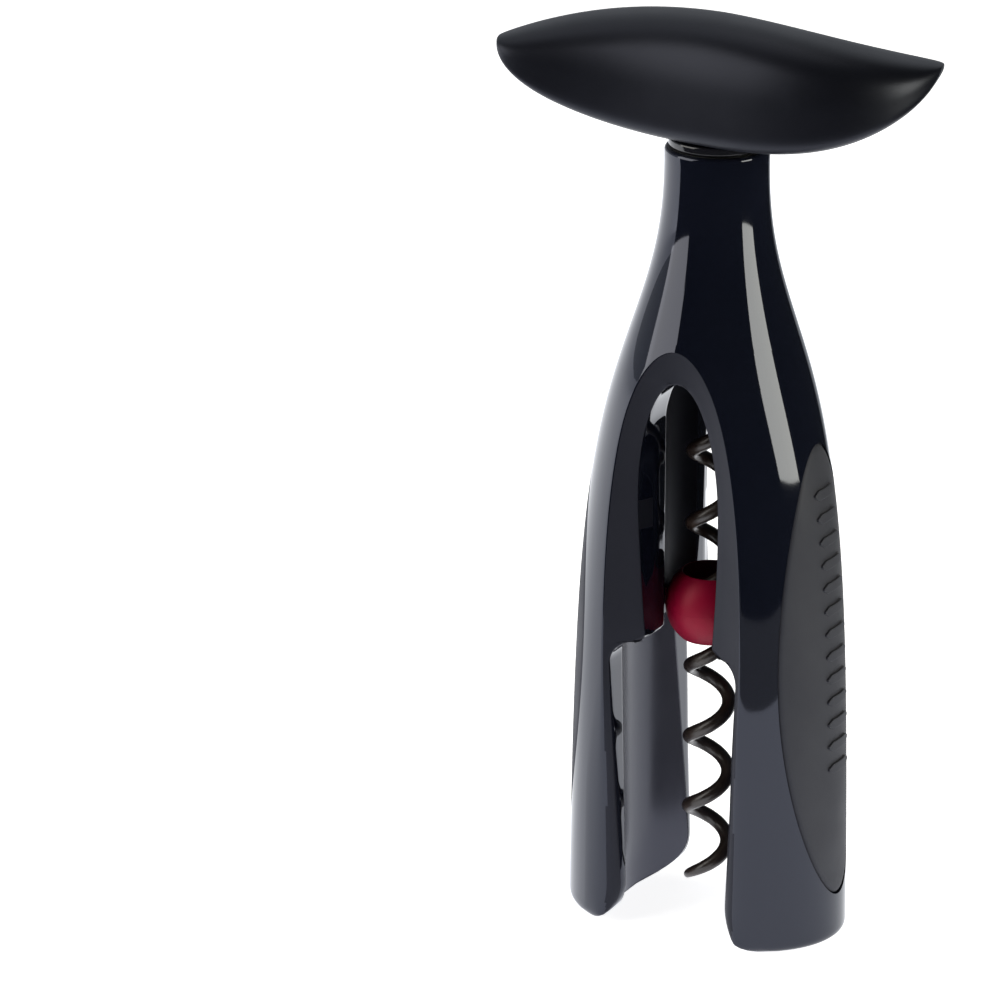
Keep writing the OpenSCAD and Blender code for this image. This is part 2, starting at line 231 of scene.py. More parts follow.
# ---------------------------------------------------------------- body form
def swell(share):
    if share <= 0:
        return 0.0
    up = share ** SWELL_RATE
    mid = SWELL_MID ** SWELL_RATE
    return (1 + mid) * up / (up + mid)


def half_width(z):
    return NECK_R + (HALF_W - NECK_R) * swell(1 - z / BODY_H)


def half_depth(z):
    w = half_width(z)
    return w * (1 + (w / HALF_D) ** FLAT_RATE) ** (-1 / FLAT_RATE)


def edge_inset(distance, radius):
    if distance >= radius:
        return 0.0
    return radius - math.sqrt(max(0.0, radius ** 2 - (radius - distance) ** 2))


def section(z):
    inset = edge_inset(z, BASE_EDGE) + edge_inset(BODY_H - z, RIM_EDGE)
    return half_width(z) - inset, half_depth(z) - inset


DOME_DROP = SCOOP_R + SCOOP_Y - half_depth(BAND_TOP_H)
DOME_H = BAND_TOP_H - DOME_L
DOME_STRETCH = DOME_L / math.sqrt(SCOOP_R ** 2 - DOME_DROP ** 2)


def nose_share(z):
    """How far the nose has grown, from none at its top to 1 near the leg's end."""
    share = min(1.0, max(0.0, (NOSE_TOP - z) / (NOSE_TOP - NOSE_FULL)))
    return share * share * (3 - 2 * share)


def scoop_depth(x, z):
    """Distance of the hollow's surface from the middle plane."""
    above = max(0.0, z - DOME_H) / DOME_STRETCH
    deep = SCOOP_R + SCOOP_Y - math.sqrt(max(0.0, SCOOP_R ** 2 - above ** 2 - x * x))
    return deep + NOSE_FORWARD * nose_share(z) - edge_inset(z, BASE_EDGE)


def outside_depth(x, z):
    w, d = section(z)
    return d * math.sqrt(max(0.0, 1 - (x / w) ** 2))


def band_edge(z):
    """Half width of the hollow where it runs out on the body's side."""
    if z >= BAND_TOP_H:
        return 0.0
    low, high = 0.0, section(z)[0] * 0.95
    for _ in range(50):
        mid = (low + high) / 2
        if scoop_depth(mid, z) < outside_depth(mid, z):
            low = mid
        else:
            high = mid
    return low


def leg_levels():
    """(height, half width of the gap) from the leg ends up to the shoulder."""
    rows = []
    for i in range(13):
        turn = math.pi / 2 * i / 12
        z = LEG_CORNER * (1 - math.cos(turn))
        rows.append((z, gap_side(z) + LEG_CORNER * (1 - math.sin(turn))))
    corner_h = STOP_H - GAP_CORNER
    for z in span(LEG_CORNER, corner_h, 20)[1:]:
        rows.append((z, gap_side(z)))
    for i in range(1, 10):
        turn = math.pi / 2 * i / 9
        rows.append((corner_h + GAP_CORNER * math.sin(turn),
                     GAP_TOP_HALF - GAP_CORNER * (1 - math.cos(turn))))
    # the shoulder slopes up to the foot of the arch
    low_w = rows[-1][1]
    for share in (0.33, 0.67, 1.0):
        rows.append((STOP_H + (ARCH_FOOT_H - STOP_H) * share,
                     low_w + (ARCH_FOOT - low_w) * share))
    return rows


def gap_side(z):
    share = min(1.0, z / (STOP_H - GAP_CORNER))
    return GAP_HALF + (GAP_TOP_HALF - GAP_HALF) * share


def arch_side(z):
    """Half width of the opening above the shoulder, on one smooth curve."""
    if z > ARCH_ROUND_H:
        share = min(1.0, (z - ARCH_ROUND_H) / ARCH_RISE)
        return ARCH_HALF * math.sqrt(1 - share ** 2)
    share = (ARCH_ROUND_H - z) / (ARCH_ROUND_H - ARCH_FOOT_H)
    return ARCH_HALF - (ARCH_HALF - ARCH_FOOT) * share ** 1.6


def arch_levels():
    rows = [(z, arch_side(z)) for z in span(ARCH_FOOT_H, ARCH_ROUND_H, 14)]
    for turn in span(0.0, math.pi / 2, 26)[1:]:
        rows.append((ARCH_ROUND_H + ARCH_RISE * math.sin(turn), ARCH_HALF * math.cos(turn)))
    return rows


def neck_levels():
    rows = [BAND_TOP_H - (BAND_TOP_H - ARCH_TOP_H) * (1 - i / 12) ** 2 for i in range(13)]
    rows += span(BAND_TOP_H, BODY_H - RIM_EDGE, 22)[1:]
    for i in range(1, 6):
        rows.append(BODY_H - RIM_EDGE * (1 - math.sin(math.pi / 2 * i / 5)))
    return rows


# Inside of the neck: (radius, height) in millimetres
NECK_STEPS = ((8.6, 103), (8.6, 105.3), (8, 105.3), (8, 106.5), (7, 106.5), (7, 140.8),
              (8, 140.8), (8, 142))
SIDE_STEPS = 44
BAND_STEPS = 4
EDGE_STEPS = 4
WALL_STEPS = 7
INNER_STEPS = 12


def front_depth(x, z):
    return min(scoop_depth(x, z), outside_depth(x, z))


def wall_front(half_gap, z):
    """Depth at which the gap's wall ends and the rounded front edge starts."""
    reach = min(BODY_EDGE, 0.5 * half_gap) + NOSE_IN * nose_share(z)
    return front_depth(half_gap, z) - reach


def curve(points, share):
    """Point on the Bezier curve of three or four points."""
    while len(points) > 1:
        points = [a + (b - a) * share for a, b in zip(points, points[1:])]
    return points[0]


def side_chain(z, half_gap):
    """Front quarter of the outside: band from the gap's edge, then round to the leg's side."""
    w, d = section(z)
    start = max(band_edge(z), half_gap)
    first = math.acos(min(1.0, start / w))
    grow = nose_share(z)
    run = math.hypot(w * math.sin(first), d * math.cos(first))
    reach_out = (BODY_EDGE + NOSE_OUT * grow) / run
    edge = min(BODY_EDGE, 0.4 * (start - half_gap))

    def side(turn):
        return Vector((w * math.cos(turn), -d * math.sin(turn), z))

    def band(x):
        return Vector((x, -front_depth(x, z), z))

    wall = Vector((half_gap, -wall_front(half_gap, z), z)) if half_gap > 0 else band(0.0)
    corner = band(half_gap)
    crease = side(first)
    outer = side(first - reach_out)
    plain = [curve((wall, corner, band(half_gap + edge)), i / EDGE_STEPS)
             for i in range(EDGE_STEPS)]
    plain += [band(x) for x in span(half_gap + edge, start - edge, BAND_STEPS)[:-1]]
    plain += [curve((band(start - edge), crease, side(first - BODY_EDGE / run)),
                    i / EDGE_STEPS) for i in range(EDGE_STEPS)]
    plain += [side(turn) for turn in span(first - BODY_EDGE / run, first - reach_out, 4)]
    last = len(plain) - 1
    points = []
    for i, spot in enumerate(plain):
        nose = curve((wall, corner, crease, outer), i / last)
        points.append(tuple(spot * (1 - grow) + nose * grow))
    points.extend(tuple(side(turn)) for turn in span(first - reach_out, 0.0, SIDE_STEPS)[1:])
    return points


def leg_inside(z, half_gap):
    """Gap wall and the bottle space's wall, from the gap's front edge to the leg's middle."""
    back = math.sqrt(max(0.0, BOTTLE_R ** 2 - half_gap ** 2))
    points = [(half_gap, -y, z)
              for y in span(wall_front(half_gap, z), back, WALL_STEPS)[:-1]]
    first = math.atan2(back, half_gap)
    for turn in span(first, 0.0, INNER_STEPS):
        points.append((BOTTLE_R * math.cos(turn), -BOTTLE_R * math.sin(turn), z))
    return points


def arch_inside(z, half_gap):
    """Flared mouth, slot wall and ball bore."""
    front = wall_front(half_gap, z)
    slot = min(SLOT_HALF, half_gap)
    back = math.sqrt(BORE_R ** 2 - slot ** 2)
    mouth_steps = 4
    points = []
    for i in range(mouth_steps):
        share = i / mouth_steps
        points.append((half_gap + (slot - half_gap) * share,
                       -(front + (SLOT_MOUTH_Y - front) * share), z))
    for y in span(SLOT_MOUTH_Y, back, WALL_STEPS - mouth_steps)[:-1]:
        points.append((slot, -y, z))
    first = math.atan2(back, slot)
    for turn in span(first, 0.0, INNER_STEPS):
        points.append((BORE_R * math.cos(turn), -BORE_R * math.sin(turn), z))
    return points


def leg_to_arch_inside(z, half_gap):
    """Leg's inside up to the shoulder, which then draws in to the arch's inside."""
    share = max(0.0, (z - STOP_H) / (ARCH_FOOT_H - STOP_H))
    low = leg_inside(z, half_gap)
    high = arch_inside(z, half_gap)
    return [tuple(a + (b - a) * share for a, b in zip(p, q)) for p, q in zip(low, high)]


def round_inside(radius, z):
    return [(radius * math.cos(turn), -radius * math.sin(turn), z)
            for turn in span(math.pi / 2, 0.0, INNER_STEPS)]


def body_quarter():
    """One quarter of the body, as rows of points joined by quads."""
    verts, faces = [], []

    def add(rows):
        offset = len(verts)
        for row in rows:
            verts.extend(row)
        faces.extend(grid_faces(len(rows), len(rows[0]), offset=offset))

    legs = leg_levels()
    arch = arch_levels()
    add([side_chain(z, w) for z, w in legs])
    add([side_chain(z, w) for z, w in arch])
    add([side_chain(z, 0.0) for z in neck_levels()])
    add([leg_to_arch_inside(z, w) for z, w in legs])
    add([arch_inside(z, w) for z, w in arch])
    # above the arch the bore closes round and steps in to the neck
    add([round_inside(r * MM, z * MM) for r, z in NECK_STEPS])
    return verts, faces


def build_body():
    quarter = new_object("body_form", *body_quarter())
    clean(quarter, 2e-6)
    for axis in (0, 1):
        apply_modifier(quarter, "MIRROR", use_axis=[axis == 0, axis == 1, False],
                       use_mirror_merge=True, merge_threshold=3e-6)
    work = bmesh.new()
    work.from_mesh(quarter.data)
    bmesh.ops.remove_doubles(work, verts=work.verts, dist=3e-6)
    rim = [e for e in work.edges if e.is_boundary and e.verts[0].co.z > BODY_H / 2]
    bmesh.ops.bridge_loops(work, edges=rim)
    ends = [e for e in work.edges if e.is_boundary]
    bmesh.ops.holes_fill(work, edges=ends, sides=0)
    bmesh.ops.recalc_face_normals(work, faces=work.faces)
    work.to_mesh(quarter.data)
    work.free()
    return quarter


def cut_recess(shell, side):
    """Oval recess in one leg's side that takes a grip pad."""
    rows = []
    for depth in (-RECESS_OUT, RECESS_DEEP):
        rows.append([pad_spot(turn, 1.0, PAD_HALF_W, PAD_HALF_L, depth, side)
                     for turn in span(0, 2 * math.pi, PAD_SIDES)[:-1]])
    verts = [point for row in rows for point in row]
    count = len(rows[0])
    faces = grid_faces(2, count, closed=True)
    # the floor of the cutter follows the leg, ring by ring to its middle
    rings = 14
    for i in range(rings - 1, 0, -1):
        verts.extend(pad_spot(turn, i / rings, PAD_HALF_W, PAD_HALF_L, RECESS_DEEP, side)
                     for turn in span(0, 2 * math.pi, PAD_SIDES)[:-1])
    faces += grid_faces(rings, count, closed=True, offset=count)
    faces.append(tuple(range(len(verts) - count, len(verts))))
    faces.append(tuple(reversed(range(count))))
    cutter = new_object("recess_cutter", verts, faces)
    clean(cutter)
    apply_modifier(shell, "BOOLEAN", object=cutter, operation="DIFFERENCE", solver="EXACT")
    bpy.data.objects.remove(cutter)


def side_x(y, z):
    """X of the leg's outside."""
    w, d = half_width(z), half_depth(z)
    return w * math.sqrt(max(0.0, 1 - (y / d) ** 2))


def pad_spot(turn, share, half_w, half_l, depth, side):
    """Point of a pad's oval, under the leg's surface by depth."""
    y = half_w * share * math.cos(turn)
    z = PAD_H + half_l * share * math.sin(turn)
    return (side * (side_x(y, z) - depth), side * y, z)


def round_edges(obj, radius, angle, low):
    """Rounds the edges sharper than angle, above the height low."""
    work = bmesh.new()
    work.from_mesh(obj.data)
    sharp = [e for e in work.edges if len(e.link_faces) == 2
             and e.calc_face_angle(0) > math.radians(angle)
             and min(v.co.z for v in e.verts) > low]
    bmesh.ops.bevel(work, geom=sharp, offset=radius, segments=3, profile=0.5,
                    affect="EDGES", clamp_overlap=False)
    bmesh.ops.recalc_face_normals(work, faces=work.faces)
    work.to_mesh(obj.data)
    work.free()


# ---------------------------------------------------------------- pads
def build_pad(side):
    """Soft oval pad, level with the leg, with a rounded edge and a groove round it."""
    half_w = PAD_HALF_W - PAD_GROOVE
    half_l = PAD_HALF_L - PAD_GROOVE
    flat = 1 - PAD_EDGE / half_w
    rings = [(flat * i / 30, 0.0) for i in range(1, 31)]
    for i in range(1, 7):
        turn = math.pi / 2 * i / 6
        rings.append((1 - PAD_EDGE / half_w * (1 - math.sin(turn)),
                      PAD_EDGE * (1 - math.cos(turn))))
    rings.append((1.0, PAD_DEEP))
    turns = span(0, 2 * math.pi, PAD_SIDES)[:-1]
    verts = [pad_spot(turn, share, half_w, half_l, depth, side)
             for share, depth in rings for turn in turns]
    faces = grid_faces(len(rings), PAD_SIDES, closed=True)
    # the front and the back close to a point each in the middle
    for level, depth in ((0, 0.0), (len(rings) - 1, PAD_DEEP)):
        middle = len(verts)
        verts.append(pad_spot(0.0, 0.0, half_w, half_l, depth, side))
        faces.extend((level * PAD_SIDES + i, level * PAD_SIDES + (i + 1) % PAD_SIDES, middle)
                     for i in range(PAD_SIDES))
    pad = new_object("grip_pad_" + ("right" if side > 0 else "left"), verts, faces)
    clean(pad)
    smooth(pad, 40)
    return pad


def build_ribs(side):
    """Row of short raised ribs up the middle of a pad, for the fingers."""
    made = []
    for z in span(RIB_LOW, RIB_HIGH, RIB_COUNT - 1):
        deselect()
        bpy.ops.mesh.primitive_cube_add(
            size=1, location=(0, 0, z), scale=(RIB_PROUD + RIB_SUNK, RIB_LONG, RIB_WIDE))
        rib = bpy.context.object
        bpy.ops.object.transform_apply(location=True, rotation=True, scale=True)
        bpy.ops.object.mode_set(mode="EDIT")
        bpy.ops.mesh.select_all(action="SELECT")
        bpy.ops.mesh.subdivide(number_cuts=5)
        bpy.ops.object.mode_set(mode="OBJECT")
        # the long sides' ends are drawn round
        for vert in rib.data.vertices:
            reach = max(0.0, abs(vert.co.y) - (RIB_LONG - RIB_WIDE) / 2) / (RIB_WIDE / 2)
            vert.co.z = z + (vert.co.z - z) * math.sqrt(max(0.06, 1 - 0.94 * reach ** 2))
        apply_modifier(rib, "BEVEL", width=RIB_EDGE, segments=3, limit_method="ANGLE",
                       angle_limit=math.radians(50))
        # and the rib bends round the leg
        for vert in rib.data.vertices:
            rise = vert.co.x + (RIB_PROUD - RIB_SUNK) / 2
            vert.co.x = side * (side_x(vert.co.y, vert.co.z) + rise)
        made.append(rib)
    deselect()
    for rib in made:
        rib.select_set(True)
    bpy.context.view_layer.objects.active = made[0]
    bpy.ops.object.join()
    ribs = bpy.context.object
    ribs.name = "grip_ribs_" + ("right" if side > 0 else "left")
    clean(ribs)
    smooth(ribs, 40)
    return ribs


# ---------------------------------------------------------------- turned pieces
def turned(name, profile, steps=128):
    """Spins a closed outline of (radius, height) points round the worm's axis."""
    deselect()
    bpy.ops.mesh.primitive_plane_add(size=1)
    made = bpy.context.object
    made.name = name
    count = len(profile)
    work = bmesh.new()
    spots = [work.verts.new((r, 0, z)) for r, z in profile]
    for i in range(count):
        work.edges.new((spots[i], spots[(i + 1) % count]))
    work.to_mesh(made.data)
    work.free()
    bpy.ops.object.mode_set(mode="EDIT")
    bpy.ops.mesh.select_all(action="SELECT")
    bpy.ops.mesh.spin(steps=steps, angle=2 * math.pi, center=(0, 0, 0), axis=(0, 0, 1))
    bpy.ops.mesh.select_all(action="SELECT")
    bpy.ops.mesh.remove_doubles(threshold=2e-6)
    bpy.ops.mesh.normals_make_consistent(inside=False)
    bpy.ops.object.mode_set(mode="OBJECT")
    return made


def rounded(profile, radius):
    """The outline with each corner turned into a short arc."""
    made = []
    count = len(profile)
    for i, (r, z) in enumerate(profile):
        here = Vector((r, z))
        before = Vector(profile[i - 1]) - here
        after = Vector(profile[(i + 1) % count]) - here
        reach = min(radius, before.length * 0.4, after.length * 0.4)
        start = here + before.normalized() * reach
        end = here + after.normalized() * reach
        for share in span(0.0, 1.0, 4):
            made.append(tuple(start * (1 - share) ** 2 + here * 2 * share * (1 - share)
                              + end * share ** 2))
    return made


def build_hub():
    """Stem that runs in the neck, the collar over the rim and the boss in the handle."""
    # (radius, height) in millimetres
    outline = [(2.25, 110), (4.7, 110), (4.7, 143.45), (6.95, 143.45), (6.95, 142.3),
               (8.4, 142.3), (8.4, 143.8), (7.2, 143.8), (7.2, 147), (2.25, 147)]
    hub = turned("handle_hub", rounded([(r * MM, z * MM) for r, z in outline], 0.4 * MM))
    smooth(hub, 50)
    return hub


def ball_outline(sign):
    """Half of the ball in section: sphere, bore and the pocket for the nut."""
    edge_turn = math.acos(BALL_HOLE_R / BALL_R)
    points = [(NUT_R, BALL_PARTING), (NUT_R, NUT_HALF_H), (BALL_HOLE_R, NUT_HALF_H)]
    top = BALL_R * math.sin(edge_turn)
    points.append((BALL_HOLE_R, top - BALL_LIP))
    first = edge_turn - BALL_LIP / BALL_R
    a = Vector((BALL_HOLE_R, top - BALL_LIP))
    b = Vector((BALL_HOLE_R, top))
    c = Vector((BALL_R * math.cos(first), BALL_R * math.sin(first)))
    for share in span(0.0, 1.0, 5)[1:]:
        points.append(tuple(a * (1 - share) ** 2 + b * 2 * share * (1 - share)
                            + c * share ** 2))
    last = BALL_PARTING / BALL_R
    for turn in span(first, last, 40)[1:]:
        points.append((BALL_R * math.cos(turn), BALL_R * math.sin(turn)))
    return [(r, BALL_H + sign * z) for r, z in points]


def build_ball_half(name, sign):
    half = turned(name, ball_outline(sign), 112)
    smooth(half, 50)
    return half


# ---------------------------------------------------------------- worm
def build_worm():
    """Coiled wire, tapered to its point and turned in to a straight shank."""
    coil_r = WORM_R - WIRE_R
    lean = math.atan2(PITCH, 2 * math.pi * coil_r)
    top = STEM_H - 1 * MM
    sides = 20
    per_turn = 72
    steps = int((top - TIP_H) / PITCH * per_turn)
    rows = []
    for i in range(steps + 1):
        z = TIP_H + (top - TIP_H) * (i / steps)
        turn = TIP_TURN + 2 * math.pi * (z - TIP_H) / PITCH
        thick = WIRE_R * min(1.0, 0.4 + 0.6 * ((z - TIP_H) / TIP_TAPER) ** 0.6)
        run = min(1.0, max(0.0, (top - z) / RUN_IN))
        r = coil_r * math.sqrt(run)
        row = []
        for j in range(sides):
            b = -2 * math.pi * j / sides
            out = thick * math.cos(b)
            up = thick * math.sin(b)
            row.append(((r + out) * math.cos(turn) + up * math.sin(lean) * math.sin(turn),
                        (r + out) * math.sin(turn) - up * math.sin(lean) * math.cos(turn),
                        z + up * math.cos(lean)))
        rows.append(row)
    verts = [point for row in rows for point in row]
    faces = grid_faces(len(rows), sides, closed=True)
    faces.append(tuple(reversed(range(sides))))
    faces.append(tuple(range(len(verts) - sides, len(verts))))
    coil = new_object("worm", verts, faces)
    clean(coil, 1e-7)
    shank = turned("shank", rounded([(0.0, (STEM_H - RUN_IN)), (SHANK_R, STEM_H - RUN_IN),
                                     (SHANK_R, SHANK_TOP), (0.0, SHANK_TOP)], 0.3 * MM), 48)
    deselect()
    shank.select_set(True)
    coil.select_set(True)
    bpy.context.view_layer.objects.active = coil
    bpy.ops.object.join()
    smooth(coil, 50)
    return coil


# ---------------------------------------------------------------- handle
PLAN_POWER = 4.1
PLAN_ROUND = 0.4
CROWN_POWER = 1.77
KEEL_POWER = 2.37
KEEL_ROUND = 0.59
EDGE_SHARE = 0.42
CROWN_BULGE = 2.54
KEEL_BULGE = 6
SWAY_PEAK = 2.598
HANDLE_REACH = 0.998
EDGE_CROWDING = 0.22


def plan_half(t):
    return HANDLE_W * max(0.0, 1 - abs(t) ** PLAN_POWER) ** PLAN_ROUND


def sway(t):
    return -HANDLE_SWAY * SWAY_PEAK * t * (1 - t * t)


def crown(t):
    return TIP_LEVEL + (CROWN_H - TIP_LEVEL) * (1 - abs(t) ** CROWN_POWER)


def keel(t):
    drop = max(0.0, 1 - abs(t) ** KEEL_POWER) ** KEEL_ROUND
    return TIP_LEVEL - (TIP_LEVEL - KEEL_H) * drop


def section_turn(share):
    """Direction round the section, with more points near the edge line."""
    turn = 2 * math.pi * share
    return turn - EDGE_CROWDING * math.sin(2 * turn)


def handle_point(t, turn):
    c, n = math.cos(turn), math.sin(turn)
    bulge = CROWN_BULGE if n >= 0 else KEEL_BULGE
    r = (abs(c) ** bulge + abs(n) ** bulge) ** (-1 / bulge)
    edge = keel(t) + (crown(t) - keel(t)) * EDGE_SHARE
    rise = crown(t) - edge if n >= 0 else edge - keel(t)
    x = HANDLE_HALF * t
    y = sway(t) + plan_half(t) * c * r
    z = edge + rise * n * r
    ca, sa = math.cos(HANDLE_TURN), math.sin(HANDLE_TURN)
    return (x * ca - y * sa, x * sa + y * ca, z)


def build_handle():
    """Soft handle: a rounded crown over a keel, swayed to an S from above."""
    rings = 150
    sides = 120
    rows = []
    for i in range(rings + 1):
        t = -HANDLE_REACH * math.cos(math.pi * i / rings)
        rows.append([handle_point(t, section_turn(j / sides)) for j in range(sides)])
    verts = [point for row in rows for point in row]
    faces = grid_faces(len(rows), sides, closed=True)
    faces.append(tuple(reversed(range(sides))))
    faces.append(tuple(range(len(verts) - sides, len(verts))))
    handle = new_object("handle_grip", verts, faces)
    clean(handle, 1e-7)
    smooth(handle, 60)
    return handle


# ---------------------------------------------------------------- materials
def add_node(tree, kind, **inputs):
    made = tree.nodes.new(kind)
    for name, value in inputs.items():
        made.inputs[name.replace("_", " ")].default_value = value
    return made


def skin_group():
    """Moulded or coated skin: patches of tone, fine grain, handling scratches."""
    group = bpy.data.node_groups.new("moulded skin", "ShaderNodeTree")
    face = group.interface
    face.new_socket("Vector", in_out="INPUT", socket_type="NodeSocketVector")
    for name in ("Tone", "Worn Tone"):
        face.new_socket(name, in_out="INPUT", socket_type="NodeSocketColor")
    for name in ("Patch Scale", "Grain Scale", "Scratch Scale", "Scratch Share",
                 "Rough Low", "Rough High", "Grain Rough"):
        face.new_socket(name, in_out="INPUT", socket_type="NodeSocketFloat")
    face.new_socket("Color", in_out="OUTPUT", socket_type="NodeSocketColor")
    face.new_socket("Roughness", in_out="OUTPUT", socket_type="NodeSocketFloat")
    face.new_socket("Height", in_out="OUTPUT", socket_type="NodeSocketFloat")
    link = group.links.new
    start = group.nodes.new("NodeGroupInput")
    end = group.nodes.new("NodeGroupOutput")

    patch = add_node(group, "ShaderNodeTexNoise", Detail=3.0, Roughness=0.55)
    link(start.outputs["Vector"], patch.inputs["Vector"])
    link(start.outputs["Patch Scale"], patch.inputs["Scale"])
    patch_range = add_node(group, "ShaderNodeMapRange", From_Min=0.35, From_Max=0.65)
    link(patch.outputs["Fac"], patch_range.inputs["Value"])

    grain = add_node(group, "ShaderNodeTexNoise", Detail=2.0, Roughness=0.6)
    link(start.outputs["Vector"], grain.inputs["Vector"])
    link(start.outputs["Grain Scale"], grain.inputs["Scale"])

    # scratches: a noise drawn out along the height, of which only thin crests show
    stretch = add_node(group, "ShaderNodeMapping")
    stretch.inputs["Scale"].default_value = (1.0, 1.0, 0.06)
    stretch.inputs["Rotation"].default_value = (0.35, 0.2, 0.0)
    link(start.outputs["Vector"], stretch.inputs["Vector"])
    lines = add_node(group, "ShaderNodeTexNoise", Detail=1.0, Roughness=0.4)
    link(stretch.outputs["Vector"], lines.inputs["Vector"])
    link(start.outputs["Scratch Scale"], lines.inputs["Scale"])
    crest = add_node(group, "ShaderNodeMapRange", From_Min=0.7, From_Max=0.8)
    link(lines.outputs["Fac"], crest.inputs["Value"])
    scratch = group.nodes.new("ShaderNodeMath")
    scratch.operation = "MULTIPLY"
    link(crest.outputs["Result"], scratch.inputs[0])
    link(start.outputs["Scratch Share"], scratch.inputs[1])

    worn = group.nodes.new("ShaderNodeMath")
    worn.operation = "MULTIPLY_ADD"
    worn.inputs[1].default_value = 0.6
    worn.use_clamp = True
    link(patch_range.outputs["Result"], worn.inputs[0])
    link(scratch.outputs["Value"], worn.inputs[2])
    tone = group.nodes.new("ShaderNodeMix")
    tone.data_type = "RGBA"
    link(worn.outputs["Value"], tone.inputs[0])
    link(start.outputs["Tone"], tone.inputs[6])
    link(start.outputs["Worn Tone"], tone.inputs[7])
    link(tone.outputs[2], end.inputs["Color"])

    rough = group.nodes.new("ShaderNodeMix")
    link(patch_range.outputs["Result"], rough.inputs[0])
    link(start.outputs["Rough Low"], rough.inputs[2])
    link(start.outputs["Rough High"], rough.inputs[3])
    rough_grain = group.nodes.new("ShaderNodeMath")
    rough_grain.operation = "MULTIPLY_ADD"
    link(grain.outputs["Fac"], rough_grain.inputs[0])
    link(start.outputs["Grain Rough"], rough_grain.inputs[1])
    link(rough.outputs[0], rough_grain.inputs[2])
    rough_sum = group.nodes.new("ShaderNodeMath")
    rough_sum.operation = "MULTIPLY_ADD"
    rough_sum.inputs[1].default_value = 0.2
    rough_sum.use_clamp = True
    link(scratch.outputs["Value"], rough_sum.inputs[0])
    link(rough_grain.outputs["Value"], rough_sum.inputs[2])
    link(rough_sum.outputs["Value"], end.inputs["Roughness"])

    height = group.nodes.new("ShaderNodeMath")
    height.operation = "MULTIPLY_ADD"
    height.inputs[1].default_value = -0.08
    link(scratch.outputs["Value"], height.inputs[0])
    link(grain.outputs["Fac"], height.inputs[2])
    link(height.outputs["Value"], end.inputs["Height"])
    return group


def ripple_group():
    """Slow unevenness of a moulded or ground face, as a height."""
    group = bpy.data.node_groups.new("slow ripple", "ShaderNodeTree")
    face = group.interface
    face.new_socket("Vector", in_out="INPUT", socket_type="NodeSocketVector")
    face.new_socket("Ripple Scale", in_out="INPUT", socket_type="NodeSocketFloat")
    face.new_socket("Ripple Share", in_out="INPUT", socket_type="NodeSocketFloat")
    face.new_socket("Fine Height", in_out="INPUT", socket_type="NodeSocketFloat")
    face.new_socket("Height", in_out="OUTPUT", socket_type="NodeSocketFloat")
    link = group.links.new
    start = group.nodes.new("NodeGroupInput")
    end = group.nodes.new("NodeGroupOutput")
    wave = add_node(group, "ShaderNodeTexNoise", Detail=1.0, Roughness=0.3)
    link(start.outputs["Vector"], wave.inputs["Vector"])
    link(start.outputs["Ripple Scale"], wave.inputs["Scale"])
    total = group.nodes.new("ShaderNodeMath")
    total.operation = "MULTIPLY_ADD"
    link(wave.outputs["Fac"], total.inputs[0])
    link(start.outputs["Ripple Share"], total.inputs[1])
    link(start.outputs["Fine Height"], total.inputs[2])
    link(total.outputs["Value"], end.inputs["Height"])
    return group


SKIN = skin_group()
RIPPLE = ripple_group()


def make_finish(name, tone, worn, rough, patch=60, grain=2500, grain_height=0.004,
                grain_rough=0.0, scratch=900, scratch_share=0.3, ripple=40,
                ripple_share=0.0, shader=None):
    """A material on the shared skin group. Heights are in millimetres."""
    made = bpy.data.materials.new(name)
    made.use_nodes = True
    tree = made.node_tree
    link = tree.links.new
    main = tree.nodes["Principled BSDF"]
    for socket, value in (shader or {}).items():
        main.inputs[socket].default_value = value
    place = tree.nodes.new("ShaderNodeTexCoord")
    skin = tree.nodes.new("ShaderNodeGroup")
    skin.node_tree = SKIN
    skin.inputs["Tone"].default_value = (*tone, 1)
    skin.inputs["Worn Tone"].default_value = (*worn, 1)
    for socket, value in (("Patch Scale", patch), ("Grain Scale", grain),
                          ("Scratch Scale", scratch), ("Scratch Share", scratch_share),
                          ("Rough Low", rough[0]), ("Rough High", rough[1]),
                          ("Grain Rough", grain_rough)):
        skin.inputs[socket].default_value = value
    link(place.outputs["Object"], skin.inputs["Vector"])
    link(skin.outputs["Color"], main.inputs["Base Color"])
    link(skin.outputs["Roughness"], main.inputs["Roughness"])
    wave = tree.nodes.new("ShaderNodeGroup")
    wave.node_tree = RIPPLE
    wave.inputs["Ripple Scale"].default_value = ripple
    wave.inputs["Ripple Share"].default_value = ripple_share
    link(place.outputs["Object"], wave.inputs["Vector"])
    link(skin.outputs["Height"], wave.inputs["Fine Height"])
    bump = tree.nodes.new("ShaderNodeBump")
    bump.inputs["Strength"].default_value = 1.0
    bump.inputs["Distance"].default_value = grain_height * MM
    link(wave.outputs["Height"], bump.inputs["Height"])
    link(bump.outputs["Normal"], main.inputs["Normal"])
    return made


